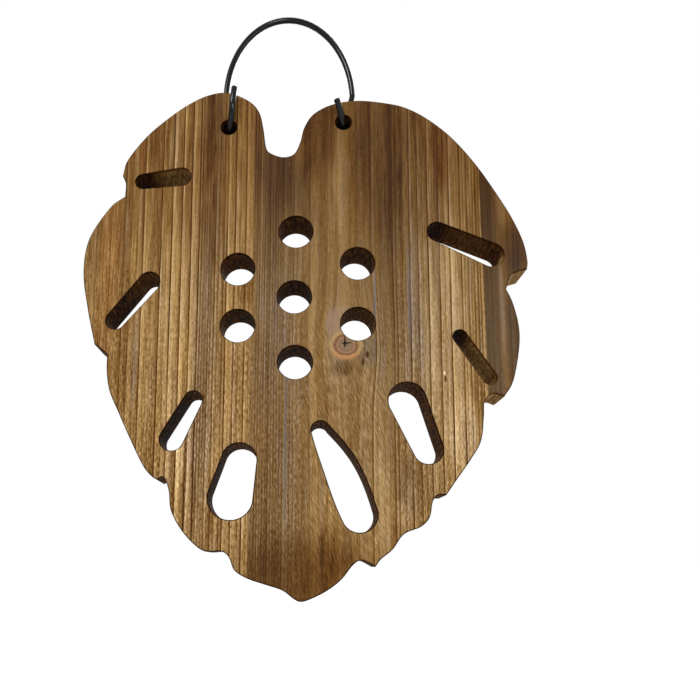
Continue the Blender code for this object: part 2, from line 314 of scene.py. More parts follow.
def moved_into_wood(loop, distance):
    """The loop moved square to itself into the wood, which lies on the right of its travel."""
    moved = []
    for k, point in enumerate(loop):
        arriving = (point - loop[k - 1]).normalized()
        leaving = (loop[(k + 1) % len(loop)] - point).normalized()
        along = (arriving + leaving).normalized()
        inward = Vector((along.y, -along.x))
        corner = max(along.dot(leaving), math.cos(WIDEST_MITRE))
        moved.append(point + inward * (distance / corner))
    return moved


def add_walls(bm, loop):
    """Rings of faces along one rim of the board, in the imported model's frame."""
    rings = []
    for inset, depth in rim_profile():
        rings.append([bm.verts.new((p.x + leaf_place.x, FRONT + depth, p.y + leaf_place.z))
                      for p in moved_into_wood(loop, inset)])
    for ring, following in zip(rings, rings[1:]):
        for k in range(len(ring)):
            j = (k + 1) % len(ring)
            bm.faces.new((ring[k], ring[j], following[j], following[k]))


board = bmesh.new()
for loop in [leaf_edge] + slot_rims:
    add_walls(board, loop)
print("Walls of the edge and slots:", len(board.faces), "faces")

# %% [markdown]
# Sums in a node tree
#
# A node tree reckons with Math nodes, one for each sum, and a long formula wired that way is
# hard to read. The class below wraps a node's output so that plain signs add those nodes:
# a * b makes a Math node that multiplies. The tree is the same as one wired by hand.

# %% Let plain signs make Math nodes


class Output:
    """A node's output that is reckoned with like a plain number."""

    def __init__(self, socket):
        self.socket = socket
        self.tree = socket.id_data

    def __add__(self, other):
        return calc("ADD", self, other)

    def __sub__(self, other):
        return calc("SUBTRACT", self, other)

    def __rsub__(self, other):
        return calc("SUBTRACT", other, self)

    def __mul__(self, other):
        return calc("MULTIPLY", self, other)

    def __truediv__(self, other):
        return calc("DIVIDE", self, other)

    def __gt__(self, other):
        return calc("GREATER_THAN", self, other)

    def __abs__(self):
        return calc("ABSOLUTE", self)


def plug(feed, entry):
    """Link an Output or a socket to a node's input, or set a plain value on it."""
    feed = getattr(feed, "socket", feed)
    if isinstance(feed, bpy.types.NodeSocket):
        entry.id_data.links.new(feed, entry)
    else:
        entry.default_value = feed


def tree_node(tree, kind, feeds=None, **settings):
    """One node with its settings and what feeds it."""
    node = tree.nodes.new(kind)
    for name, value in settings.items():
        setattr(node, name, value)
    for key, feed in (feeds or {}).items():
        plug(feed, node.inputs[key])
    return node


def first_output(tree, kind, feeds=None, **settings):
    """The first output of a new node."""
    return Output(tree_node(tree, kind, feeds, **settings).outputs[0])


def tree_of(*feeds):
    """The tree of the first feed that is an Output."""
    return next(feed.tree for feed in feeds if isinstance(feed, Output))


def calc(operation, *feeds):
    """The result of one Math node."""
    return first_output(tree_of(*feeds), "ShaderNodeMath", dict(enumerate(feeds)), operation=operation)


print("Math nodes come from + - * / > and abs")

# %% [markdown]
# The bores repeat
#
# Seven plant holes and two hanger holes are the same thing at different places and sizes: a
# round wall with a rounded rim at each end. That is work for Geometry Nodes. One tree takes
# points, puts a swept ring on each and realizes the instances. The holes could be copied in a
# loop, but the tree keeps the diameter and the rounding as inputs that can be turned afterwards.

# %% Build a tree that bores holes
PLANT_HOLE_DIAMETER = 0.0156
HANGER_HOLE_DIAMETER = 0.0075
PLANT_HOLES = [(0.0, 0.0), (1.8, 32.6), (29.9, 15.4), (28.6, -14.2), (-0.7, -31.4),
               (-26.5, -13.0), (-25.9, 14.8)]
HANGER_HOLES = [(-29.1, 89.2), (26.7, 89.2)]
BORE_SIDES = 72
WELD_DISTANCE = 0.00001


def new_geometry_tree(name, sizes):
    """An empty tree with a geometry input, named size inputs and a material input."""
    tree = bpy.data.node_groups.new(name, "GeometryNodeTree")
    tree.interface.new_socket("Geometry", in_out="INPUT", socket_type="NodeSocketGeometry")
    for size_name, default in sizes.items():
        kind = "NodeSocketInt" if isinstance(default, int) else "NodeSocketFloat"
        socket = tree.interface.new_socket(size_name, in_out="INPUT", socket_type=kind)
        socket.default_value = default
    tree.interface.new_socket("Material", in_out="INPUT", socket_type="NodeSocketMaterial")
    tree.interface.new_socket("Geometry", in_out="OUTPUT", socket_type="NodeSocketGeometry")
    entries = tree.nodes.new("NodeGroupInput").outputs
    return tree, {entry.name: Output(entry) for entry in entries}


def finish_geometry_tree(tree, geometry, material):
    """Realize what was instanced, give it its material and end the tree."""
    real = first_output(tree, "GeometryNodeRealizeInstances", {"Geometry": geometry})
    painted = first_output(tree, "GeometryNodeSetMaterial", {"Geometry": real, "Material": material})
    tree_node(tree, "NodeGroupOutput", {"Geometry": painted})


def bore_tree():
    """A round wall with a rounded rim at each end, at every given point."""
    tree, given = new_geometry_tree("Bored holes", {
        "Diameter": PLANT_HOLE_DIAMETER, "Depth": BOARD_THICKNESS, "Rounding": RIM_ROUNDING,
        "Sides": BORE_SIDES, "Rows per rim": ROUNDING_STEPS + 1})
    rows = given["Rows per rim"] * 2
    grid = first_output(tree, "GeometryNodeMeshGrid",
                        {"Vertices X": given["Sides"] + 1, "Vertices Y": rows})
    index = first_output(tree, "GeometryNodeInputIndex")
    row = calc("MODULO", index, rows)
    column = calc("FLOOR", index / rows)
    from_other_end = rows - 1 - row
    turn = calc("MINIMUM", row, from_other_end) / (given["Rows per rim"] - 1) * (math.pi / 2)
    inset = given["Rounding"] * (1 - calc("SINE", turn))
    sunk = given["Rounding"] * (1 - calc("COSINE", turn))
    depth = (row > from_other_end) * (given["Depth"] - sunk * 2) + sunk
    angle = column * calc("DIVIDE", 2 * math.pi, given["Sides"])
    radius = given["Diameter"] * 0.5 + inset
    place = first_output(tree, "ShaderNodeCombineXYZ", {
        "X": radius * calc("COSINE", angle), "Y": depth, "Z": radius * calc("SINE", angle)})
    wall = first_output(tree, "GeometryNodeSetPosition", {"Geometry": grid, "Position": place})
    welded = first_output(tree, "GeometryNodeMergeByDistance",
                          {"Geometry": wall, "Distance": WELD_DISTANCE})
    holes = first_output(tree, "GeometryNodeInstanceOnPoints",
                         {"Points": given["Geometry"], "Instance": welded})
    finish_geometry_tree(tree, holes, given["Material"])
    return tree


bores = bore_tree()
print("Bore tree:", len(bores.nodes), "nodes")

# %% [markdown]
# A modifier's inputs are set by the socket's identifier, because its name is only a label. The
# evaluated result is then turned into a plain mesh, which needs no modifier any more.

# %% Bore the nine holes


def grown_mesh(name, base, tree, sizes, material):
    """The plain mesh that a tree makes from a base mesh or curve."""
    grower = placed(name, base)
    modifier = grower.modifiers.new(tree.name, "NODES")
    modifier.node_group = tree
    for item in tree.interface.items_tree:
        if item.name in sizes:
            modifier[item.identifier] = sizes[item.name]
        if item.name == "Material" and material:
            modifier[item.identifier] = material
    seen = grower.evaluated_get(bpy.context.evaluated_depsgraph_get())
    mesh = bpy.data.meshes.new_from_object(seen)
    bpy.data.objects.remove(grower)
    return mesh


def bored(name, centres, diameter):
    """Walls of some holes, as a plain mesh."""
    points = bpy.data.meshes.new(name + "_centres")
    flat = [on_leaf(centre) for centre in centres]
    points.from_pydata([(p.x + leaf_place.x, FRONT, p.y + leaf_place.z) for p in flat], [], [])
    return grown_mesh(name, points, bores, {"Diameter": diameter}, None)


for holes_name, centres, diameter in (("plant_holes", PLANT_HOLES, PLANT_HOLE_DIAMETER),
                                      ("hanger_holes", HANGER_HOLES, HANGER_HOLE_DIAMETER)):
    walls = bored(holes_name, centres, diameter)
    board.from_mesh(walls)
    print(holes_name, len(walls.polygons), "faces")

# %% [markdown]
# Faces and staves
#
# The front and back of a real board are planed flat. All the rims that lie in the front plane
# bound one flat sheet with holes, which Triangle Fill closes, and the same again at the back.
#
# The board was glued up from three staves before the leaf was sawn out. So the whole leaf is
# made first and then parted along the two glue joints, just as the grain changes there on the
# real one. A modelled gap would show as a black line, so the joints are all but closed.

# %% Close the faces and part the staves
LEFT_STAVE_WIDTH = 0.0796
RIGHT_STAVE_WIDTH = 0.0213
GRAIN_LEAN = math.radians(2.4)
GLUE_LINE = 0.00004
SHARP_ANGLE = math.radians(40)
SAW_TOLERANCE = 0.000001

for plane_y in (FRONT, BACK):
    rims = [edge for edge in board.edges if edge.is_boundary
            and all(abs(v.co.y - plane_y) < SAW_TOLERANCE for v in edge.verts)]
    bmesh.ops.triangle_fill(board, use_beauty=True, edges=rims)
bmesh.ops.recalc_face_normals(board, faces=board.faces)
print("Board:", len(board.faces), "faces, open edges:", sum(e.is_boundary for e in board.edges))

grain_square = Vector((math.cos(GRAIN_LEAN), 0.0, -math.sin(GRAIN_LEAN)))
left_joint = leaf_place + Vector((on_leaf(drawn_low).x + LEFT_STAVE_WIDTH, 0.0, 0.0))
right_joint = leaf_place + Vector((on_leaf(drawn_high).x - RIGHT_STAVE_WIDTH, 0.0, 0.0))


def cut_away(bm, joint, towards):
    """Saw the board along a glue joint and drop what lies towards +1 (right) or -1 (left)."""
    geometry = list(bm.verts) + list(bm.edges) + list(bm.faces)
    bmesh.ops.bisect_plane(bm, geom=geometry, plane_co=joint - grain_square * (towards * GLUE_LINE / 2),
                           plane_no=grain_square * towards, dist=SAW_TOLERANCE, clear_outer=True)
    bmesh.ops.holes_fill(bm, edges=[edge for edge in bm.edges if edge.is_boundary], sides=0)


def stave(name, cuts):
    """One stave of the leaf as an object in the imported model's frame."""
    bm = board.copy()
    for joint, towards in cuts:
        cut_away(bm, joint, towards)
    bmesh.ops.triangulate(bm, faces=bm.faces)
    bmesh.ops.recalc_face_normals(bm, faces=bm.faces)
    mesh = bpy.data.meshes.new(name)
    bm.to_mesh(mesh)
    bm.free()
    mesh.shade_smooth()
    mesh.set_sharp_from_angle(angle=SHARP_ANGLE)
    piece = placed(name, mesh)
    weighted = piece.modifiers.new("weighted normals", "WEIGHTED_NORMAL")
    weighted.keep_sharp = True
    print(name, len(mesh.polygons), "triangles")
    return piece


left_stave = stave("left_leaf_stave", [(left_joint, 1)])
middle_stave = stave("middle_leaf_stave", [(left_joint, -1), (right_joint, 1)])
right_stave = stave("right_leaf_stave", [(right_joint, -1)])
board.free()

# %% [markdown]
# The wire
#
# One length of wire is bent to an arch with a hook at each end. It follows a path, so a second
# Geometry Nodes tree sweeps a round section along it. A curve's own bevel does nearly the same,
# but the tree also thins the last half millimetre, where the cutter left a slightly rounded tip.
#
# The hooks come first. Each runs down behind the board, through its hanger hole and up in front.

# %% Bend the hooks
WIRE_DIAMETER = 0.003
HOLE_CLEARANCE = 0.00027
HOOK_TWIST = 0.0024
BAIL_HEIGHT = 0.0682
LEFT_HOOK_SWEEP = math.radians(180)
LEFT_STUB_LENGTH = 0.0075
LEFT_STUB_LEAN = math.radians(8)
RIGHT_HOOK_SWEEP = math.radians(150)
RIGHT_STUB_LENGTH = 0.0055
RIGHT_STUB_LEAN = math.radians(19)
BEND_STEP = math.radians(3)

HINGE_HEIGHT = WIRE_DIAMETER / 2 - BAIL_HEIGHT
slack = HANGER_HOLE_DIAMETER - WIRE_DIAMETER - 2 * HOLE_CLEARANCE
reach = slack + WIRE_DIAMETER / 2
HOOK_RADIUS = ((BOARD_THICKNESS / 2) ** 2 + reach ** 2 - (WIRE_DIAMETER / 2) ** 2) / (2 * slack)


def hook(eye_x, outboard, sweep, stub_length, stub_lean):
    """The wire from the leg behind the board, down through a hole and up to the stub's tip."""
    steps = round(sweep / BEND_STEP)
    bend = []
    for k in range(steps + 1):
        angle = sweep * k / steps
        bend.append(Vector((eye_x + outboard * HOOK_TWIST * math.cos(angle) ** 3,
                            HOOK_RADIUS * (math.cos(angle) - 1),
                            HINGE_HEIGHT - HOOK_RADIUS * math.sin(angle))))
    straight_on = Vector((0.0, -math.sin(sweep), -math.cos(sweep))) * math.cos(stub_lean)
    inboard = Vector((-outboard * math.sin(stub_lean), 0.0, 0.0))
    return bend + [bend[-1] + (straight_on + inboard) * stub_length]


left_eye, right_eye = (on_leaf(hole).x + leaf_place.x for hole in HANGER_HOLES)
left_hook = hook(left_eye, -1, LEFT_HOOK_SWEEP, LEFT_STUB_LENGTH, LEFT_STUB_LEAN)
right_hook = hook(right_eye, 1, RIGHT_HOOK_SWEEP, RIGHT_STUB_LENGTH, RIGHT_STUB_LEAN)
print("Hooks bent to", round(HOOK_RADIUS / MM, 2), "mm")

# %% [markdown]
# The arch is half an ellipse. It meets each leg at a corner, and the bend there is rounded.

# %% Bend the arch
ARCH_WIDTH = 0.0666
LEG_RISE = 0.0199
BEND_RADIUS = 0.006
LEAST_BEND_STEPS = 4
ARCH_STEP = math.radians(2)


def rounded_corner(before, corner, after):
    """Points of the bend that rounds one corner of the wire."""
    arriving = (corner - before).normalized()
    leaving = (after - corner).normalized()
    turn = arriving.angle(leaving)
    trim = BEND_RADIUS * math.tan(turn / 2)
    steps = max(LEAST_BEND_STEPS, round(turn / BEND_STEP))
    start, end = corner - arriving * trim, corner + leaving * trim
    return [start * (1 - t) ** 2 + corner * (2 * t * (1 - t)) + end * t ** 2
            for t in (k / steps for k in range(steps + 1))]


def arch_point(angle):
    """A point on the half ellipse between the legs, at 0 on the right and pi on the left."""
    return Vector((ARCH_WIDTH / 2 * math.cos(angle), 0.0,
                   HINGE_HEIGHT + LEG_RISE + (BAIL_HEIGHT - LEG_RISE) * math.sin(angle)))


arch_steps = round(math.pi / ARCH_STEP)
arch = [arch_point(math.pi - math.pi * k / arch_steps) for k in range(1, arch_steps)]
left_kink = rounded_corner(left_hook[0], arch_point(math.pi), arch[0])
right_kink = rounded_corner(arch[-1], arch_point(0.0), right_hook[0])
wire_path = left_hook[::-1] + left_kink + arch + right_kink + right_hook
wire_length = sum((b - a).length for a, b in zip(wire_path, wire_path[1:]))
print("Wire:", len(wire_path), "points,", round(wire_length / MM), "mm long")

# %% [markdown]
# The tip's chamfer is one more input: how far from each end the wire starts to thin. At the
# very tip only a quarter of the section's area is left.

# %% Sweep the wire
TIP_CHAMFER = 0.0006
TIP_FINENESS = 4
TIP_AREA_LOST = 0.75
WIRE_SIDES = 40


def wire_tree():
    """A round section swept along the path, with both tips thinned."""
    tree, given = new_geometry_tree("Bent wire", {
        "Diameter": WIRE_DIAMETER, "Sides": WIRE_SIDES, "Tip chamfer": TIP_CHAMFER})
    along = Output(tree.nodes.new("GeometryNodeSplineParameter").outputs["Length"])
    whole = Output(tree.nodes.new("GeometryNodeSplineLength").outputs["Length"])
    from_tip = calc("MINIMUM", along, whole - along)
    lost = 1 - calc("MINIMUM", from_tip / given["Tip chamfer"], 1)
    thin = calc("SQRT", 1 - lost * lost * TIP_AREA_LOST)
    thinned = first_output(tree, "GeometryNodeSetCurveRadius",
                           {"Curve": given["Geometry"], "Radius": thin})
    section = first_output(tree, "GeometryNodeCurvePrimitiveCircle",
                           {"Resolution": given["Sides"], "Radius": given["Diameter"] * 0.5})
    swept = first_output(tree, "GeometryNodeCurveToMesh", {
        "Curve": thinned, "Profile Curve": section, "Scale": thin, "Fill Caps": True})
    finish_geometry_tree(tree, swept, given["Material"])
    return tree


def tip_points(tip, inner):
    """Extra points close to one end of the path, from the tip inwards."""
    inwards = (inner - tip).normalized()
    return [tip + inwards * (TIP_CHAMFER * k / TIP_FINENESS) for k in range(TIP_FINENESS + 1)]


def wire_curve(path):
    """The path as a curve, with extra points at both tips for the chamfer."""
    path = tip_points(*path[:2]) + path[1:-1] + tip_points(*path[:-3:-1])[::-1]
    curve = bpy.data.curves.new("wire_path", "CURVE")
    curve.dimensions = "3D"
    spline = curve.splines.new("POLY")
    spline.points.add(len(path) - 1)
    for point, place in zip(spline.points, path):
        point.co = (*place, 1.0)
    return curve


coated_wire = bpy.data.materials.new("gloss black coated wire")
wire_mesh = grown_mesh("bent_wire", wire_curve(wire_path), wire_tree(), {}, coated_wire)
wire_mesh.shade_smooth()
wire_mesh.set_sharp_from_angle(angle=SHARP_ANGLE)
wire = placed("bent_wire", wire_mesh)
print("Wire mesh:", len(wire_mesh.polygons), "faces, box", in_mm([wire.bound_box[0], wire.bound_box[6]]))

# %% [markdown]
# Wood, and how to place its grain
#
# The staves have growth rings that run down the board, 2.4 degrees off upright. Each ring goes
# from pale earlywood on its left to a thin dark latewood line on its right, and the scorching
# and brushing made those lines darker. A Wave texture gives rings of one spacing only. Here
# each real line has its own place, so the rings are narrow and wide where they really are.
#
# All wood patterns read one pair of lengths in millimetres: how far a point lies across the
# grain and how far along it. They are bent around the knot, as the growing trunk flowed
# around its branch, and wander a little by noise.

# %% Measure across and along the grain
KNOT = (23.6, -23.1)
KNOT_REACH = (12.0, 21.0)
KNOT_PUSH = 0.6
WANDER = 0.35
TAPER_CENTRE = 20.0
TAPER_HEIGHT = 45.0
TAPER = 0.00019
# a noise is features per millimetre across and along the grain, and octaves of detail
WANDERING = (0.035, 0.011, 2.0)


def stretched_noise(across, along, noise, depth=None, slant=0.0):
    """A noise drawn out along the grain, and leaned by a slant."""
    scale_across, scale_along, detail = noise
    sideways = along * slant + across if slant else across
    place = first_output(tree_of(across), "ShaderNodeCombineXYZ", {
        "X": sideways * scale_across, "Y": depth * scale_across if depth else 0.0,
        "Z": along * scale_along})
    return first_output(tree_of(across), "ShaderNodeTexNoise", {
        "Vector": place, "Scale": 1.0, "Detail": detail}, noise_dimensions="3D")


def squared_distance(across, along, centre, half_size):
    """The squared distance from a centre, counted in half sizes."""
    x = (across - centre[0]) / half_size[0]
    z = (along - centre[1]) / half_size[1]
    return x * x + z * z


def grain_lengths(tree):
    """Across, along and depth in millimetres, and across as the rings see it."""
    turned = first_output(tree, "ShaderNodeMapping", {
        "Vector": tree.nodes.new("ShaderNodeTexCoord").outputs["Object"],
        "Location": leaf_place, "Rotation": (0.0, GRAIN_LEAN, 0.0), "Scale": (MM, MM, MM)},
        vector_type="TEXTURE")
    split = tree_node(tree, "ShaderNodeSeparateXYZ", {"Vector": turned})
    across, depth, along = (Output(socket) for socket in split.outputs)
    tapered = (across - TAPER_CENTRE) * ((TAPER_HEIGHT - along) * TAPER) + across
    wander = stretched_noise(across, along, WANDERING, depth) - 0.5
    strayed = wander * (2 * WANDER) + tapered
    push = calc("EXPONENT", squared_distance(across, along, KNOT, KNOT_REACH) * -1) * KNOT_PUSH
    return across, along, depth, strayed - (strayed - KNOT[0]) * push


print("Grain leans", round(math.degrees(GRAIN_LEAN), 1), "degrees and bends around the knot at", KNOT)

# %% [markdown]
# Growth rings
#
# A ring line is a comparison: right of the line or not. Each comparison moves on "the next
# line to the right" and its strength, so one short chain of sums knows, at every point, how
# far the next dark line is. The dark then builds up towards the line and stops at once behind
# it, where a thin pale edge begins, as late summer wood stops at winter. A ring's listed place
# is the middle of its dark line, and the ring ends a little to the right of it.

# %% Lay the growth rings
LATEWOOD_WIDTH = 0.5
RING_END = 0.6
LATEWOOD_SOFTNESS = 0.15
LATEWOOD_BUILD_UP = 1.3
BUILD_UP_SHARE = 0.38
PALE_EDGE = 0.8
FIRST_RING_WIDTH = 4.0
LEFT_RINGS = [(-94.5, 0.25), (-91.0, 0.15), (-87.8, 0.35), (-84.5, 0.2), (-81.2, 0.6), (-78.0, 0.2),
              (-75.0, 0.35), (-72.2, 0.8), (-69.8, 0.1), (-67.5, 0.2), (-63.8, 0.9), (-61.2, 0.15),
              (-58.7, 0.9), (-56.3, 0.2), (-54.0, 0.8), (-51.6, 0.25), (-49.6, 0.85), (-47.8, 0.3),
              (-45.7, 0.95), (-44.4, 0.35), (-43.1, 0.5), (-41.9, 0.3), (-40.6, 0.45), (-39.4, 0.3),
              (-37.9, 0.6), (-36.3, 0.3), (-33.9, 0.65), (-32.4, 0.7), (-30.6, 0.3), (-28.6, 0.9),
              (-26.4, 0.25), (-23.6, 0.8), (-21.6, 0.3), (-19.4, 0.9), (-16.0, 0.5)]
MIDDLE_RINGS = [(-18.0, 0.5), (-16.8, 0.45), (-15.5, 0.35), (-14.4, 0.6), (-13.1, 0.35), (-12.0, 0.5),
                (-10.7, 0.3), (-9.5, 0.45), (-8.2, 0.3), (-6.9, 0.4), (-5.5, 0.35), (-3.9, 0.2),
                (-2.4, 0.25), (-0.8, 0.3), (1.0, 0.25), (3.4, 0.3), (6.8, 0.1), (10.5, 0.12),
                (15.0, 0.1), (19.5, 0.14), (24.5, 0.1), (29.0, 0.14), (32.6, 0.15), (35.3, 0.6),
                (37.4, 0.25), (40.8, 0.2), (43.2, 0.25), (45.4, 0.75), (47.1, 0.55), (50.0, 0.3),
                (53.3, 0.75), (55.0, 0.25), (57.1, 0.55), (59.4, 0.25), (61.8, 0.7), (64.4, 0.15),
                (66.9, 0.8), (69.3, 0.2), (71.8, 0.9), (74.5, 0.15), (77.1, 0.85), (78.4, 0.3),
                (80.2, 0.65), (81.6, 0.3), (82.9, 0.6), (84.5, 0.55), (85.7, 0.6), (88.0, 0.5)]
RIGHT_RINGS = [(88.6, 0.15), (90.9, 0.25), (93.3, 0.3), (96.4, 0.12), (98.7, 0.35), (101.4, 0.45),
               (103.8, 0.25), (106.5, 0.3), (112.0, 0.3)]


def ring_pattern(bent, rings, uneven):
    """How dark each point is by its rings, how pale behind a line, and its ring's own shade."""
    bent = bent - RING_END
    edge = (rings[0][0] - FIRST_RING_WIDTH, 0.0)
    following, passed = rings[0], edge
    for before, ring, after in zip([edge] + rings, rings, rings[1:]):
        past = bent > ring[0]
        following = [calc("MULTIPLY_ADD", past, new - old, so_far)
                     for so_far, old, new in zip(following, ring, after)]
        passed = [calc("MULTIPLY_ADD", past, new - old, so_far)
                  for so_far, old, new in zip(passed, before, ring)]
    next_line, next_strength = following
    last_line, last_strength = passed
    before_line = calc("MAXIMUM", next_line - bent - LATEWOOD_WIDTH, 0.0)
    build_up = calc("EXPONENT", before_line / -LATEWOOD_BUILD_UP)
    crisp = calc("EXPONENT", before_line / -LATEWOOD_SOFTNESS)
    near = build_up * BUILD_UP_SHARE + crisp * (1.0 - BUILD_UP_SHARE)
    dark = calc("MINIMUM", near * next_strength * uneven, 1.0)
    just_past = calc("EXPONENT", (bent - last_line) / -PALE_EDGE)
    own_shade = first_output(next_line.tree, "ShaderNodeTexWhiteNoise", {"W": next_line},
                             noise_dimensions="1D")
    return dark, just_past * last_strength, own_shade


print("Rings:", len(LEFT_RINGS), "left,", len(MIDDLE_RINGS), "middle,", len(RIGHT_RINGS), "right")

# %% [markdown]
# One scale of tones
#
# Oiled softwood has one scale of tones: the darker it is, the browner, and the paler, the more
# like straw. So the patterns below only work out a brightness from 0 to 1, and one colour ramp
# turns it into wood. Separate colours for each pattern would drift towards orange or grey.
# Weather and minerals stain wood too, and a stain is laid over the ramp's colour.

# %% Name the tones
WOOD_TONES = [
    # brightness and linear colour, from char to the palest straw
    (0.04, (0.009, 0.0020, 0.0002)),
    (0.15, (0.056, 0.019, 0.0030)),
    (0.24, (0.110, 0.048, 0.0090)),
    (0.32, (0.164, 0.087, 0.0250)),
    (0.39, (0.235, 0.137, 0.0490)),
    (0.46, (0.314, 0.193, 0.0780)),
    (0.54, (0.415, 0.270, 0.1180)),
    (0.62, (0.527, 0.356, 0.1800)),
    (0.70, (0.645, 0.474, 0.2620)),
    (0.80, (0.780, 0.620, 0.4000)),
]
# how each stain is laid on, and its colour
GREYED = ("MULTIPLY", (0.78, 0.98, 1.85))
YELLOWED = ("MULTIPLY", (1.03, 1.00, 0.82))
REDDENED = ("MULTIPLY", (1.10, 0.94, 0.88))
COOLED = ("MULTIPLY", (0.97, 1.06, 1.32))
SLATE = ("MIX", (0.095, 0.088, 0.080))
HAZE = ("MIX", (0.235, 0.155, 0.115))


def mixed(share, below, above, blend="MIX"):
    """Two colours mixed by a share. Each of the three is an Output or plain."""
    node = tree_node(tree_of(share, below), "ShaderNodeMix", data_type="RGBA", blend_type=blend)
    entries = {entry.identifier: entry for entry in node.inputs}
    plug(share, entries["Factor_Float"])
    for key, colour in (("A_Color", below), ("B_Color", above)):
        plug(colour if isinstance(colour, Output) else (*colour, 1.0), entries[key])
    return Output(next(s for s in node.outputs if s.identifier == "Result_Color"))


def tone_ramp(value, tones):
    """The colour that a list of places and colours gives for a value."""
    ramp = tree_node(value.tree, "ShaderNodeValToRGB", {"Fac": value})
    stops = ramp.color_ramp.elements
    for stop, (place, colour) in zip(stops, tones[:1] + tones[-1:]):
        stop.position = place
        stop.color = (*colour, 1.0)
    for place, colour in tones[1:-1]:
        stops.new(place).color = (*colour, 1.0)
    return Output(ramp.outputs["Color"])


def stained(colour, share, stain):
    """A colour with a share of a stain laid on it."""
    blend, tint = stain
    return mixed(share, colour, tint, blend)


print("Tones:", len(WOOD_TONES), "from brightness", WOOD_TONES[0][0], "to", WOOD_TONES[-1][0])

# %% [markdown]
# Fields of tone
#
# Scorching isn't even, and weather and minerals stain wood in streaks. Each such field is a
# soft ellipse in grain lengths. A lift makes the wood brighter or darker there, and a stain
# also tints it. Some fields paint light and shade instead: a golden sheen low on the right,
# a shadow below the knot, and brighter walls where the lamps reach in. A painted image could
# do this too, but a list of fields can be read and changed.

# %% Place the fields
FIELD_EDGE = 0.45
# a lift is its strength, its centre across and along, and its half size across and along
LEFT_LIFTS = [
    (-0.05, -90, 0, 11, 45), (-0.11, -21, 3, 6, 8), (0.05, -57, -14, 13, 52),
    (0.02, -36, -92, 28, 34), (0.03, -26, 10, 7, 90), (-0.03, -68, 84, 6, 24),
    (-0.03, -60, 36, 9, 30), (-0.03, -79, -28, 6, 30),
    # gold and dark streaks between the two lower slots and the edge
    (0.17, -50, -73, 1.7, 15), (0.08, -50.4, -99, 1.3, 13), (-0.26, -47.1, -86, 0.5, 28),
    (0.15, -46, -78, 0.6, 20), (-0.15, -43.3, -97, 0.7, 15), (0.08, -38, -88, 0.8, 26),
    (-0.15, -35.3, -99, 1, 13), (0.1, -25.2, -99, 0.6, 15), (-0.15, -24, -99, 0.6, 15),
    (0.11, -22, -99, 1.5, 15), (0.1, -16.8, -103, 0.9, 15),
]
MIDDLE_LIFTS_AND_PAINTED_LIGHT = [
    (-0.05, -18, 60, 1.8, 50), (0.03, -12, -11, 5, 12), (0.02, 48, -28, 8, 18),
    # painted sheen: the lifts at 71 and 76.5 across paint a golden sheen low on the right
    (-0.06, 20, -114, 7, 12), (0.03, 21.5, 66, 3.5, 30), (0.09, 71, -25, 12, 60),
    (0.05, 36, -96, 24, 18), (-0.02, 15, 15, 10, 26), (0.11, 76.5, -66, 8, 20),
    (0.07, 47.5, -98.5, 4, 5),
    # a bright nick with its shadow, and two cracks right of the knot
    (0.3, 67.6, -36.2, 0.5, 0.9), (-0.2, 67.9, -38.8, 0.4, 1.4),
    (-0.22, 33.3, -27.6, 0.8, 1.5), (-0.18, 31.3, -31.2, 0.6, 1.5),
]
RIGHT_LIFTS = [(-0.03, 89.3, 45, 3.5, 40), (0.06, 94.8, -4, 1.1, 22)]
# the brighter wall fields are painted light, where the lamps reach into slots, notches and holes; the
# others only darken
WALL_LIFTS_AND_PAINTED_LIGHT = [
    # on the sawn walls: upper left slot and notch, left slot, lower left slot
    (0.2, -58, 61.5, 9, 8), (-0.08, -76, 59, 7, 8), (-0.07, -79, -7, 9, 10), (0.04, -68, 7, 7, 7),
    (-0.11, -55, -60, 9, 14), (-0.11, -37, -82, 8, 16),
    # upper right slot, right slot, both right notches, plant holes
    (-0.12, 64, 33, 6, 8), (0.05, 78, 27, 11, 8), (0.34, 95.5, 16, 6, 5.5),
    (0.24, 83, -31, 10, 15), (-0.15, 75, -18, 4, 5), (0.24, 103, 11, 8, 7), (0.22, 90, -47, 8, 6),
    (0.12, 29, -16, 10, 9), (-0.06, 2, 0, 30, 40),
]
# a stain is a lift, the stain, its strength, and its centre and half size like a lift's
LEFT_STAINS = [
    (0, REDDENED, 0.6, -87.5, 15, 4.5, 55), (-0.095, GREYED, 0.3, -40, 66, 5.5, 60),
    (0.01, GREYED, 0.25, -36.3, 84, 2.6, 32), (-0.02, GREYED, 0.45, -40.6, -35, 5.5, 65),
    (-0.07, REDDENED, 0.8, -74.2, 80, 1.6, 20), (0, SLATE, 0.3, -72.6, -32, 0.9, 20),
]
MIDDLE_STAINS_AND_KNOT_SHADOW = [
    (0, GREYED, 0.6, -9, 45, 13, 75), (-0.08, GREYED, 0.35, -9, 62, 9, 22),
    (0, GREYED, 0.4, -8, -75, 14, 70), (-0.12, GREYED, 0.2, 0, -132, 26, 22),
    (0, SLATE, 0.6, -3.4, -72, 0.7, 42), (-0.08, GREYED, 0.2, 11, 90, 10, 26),
    (-0.06, GREYED, 0.35, 41, 78, 12, 52), (-0.03, GREYED, 0.15, 62, 70, 12, 40),
    (-0.05, GREYED, 0.2, 45, 10, 9, 50), (-0.03, REDDENED, 0.7, 69.5, 78, 4.5, 22),
    (0, SLATE, 0.55, 36.9, 2, 0.7, 14), (0, SLATE, 0.35, 52.6, 2, 0.9, 28),
    (0, GREYED, 0.35, 55.5, 2, 3, 36), (0, COOLED, 1, 45, 45, 40, 130),
    (-0.04, GREYED, 0.2, 7, 52, 6, 20), (-0.04, GREYED, 0.15, -12, 28, 5, 14),
    (-0.04, GREYED, 0.2, 50.6, -88, 6, 12),
    # about the knot: haze up and left of it, a painted shadow below, a grey patch right
    (0, HAZE, 0.55, 17.8, -12.5, 3.4, 6.5), (0, HAZE, 0.35, 22, -7.2, 4, 2.6),
    (-0.1, GREYED, 0.3, 22.5, -33.9, 4.4, 3.4), (-0.02, GREYED, 0.6, 33.4, -26, 4, 7.5),
]
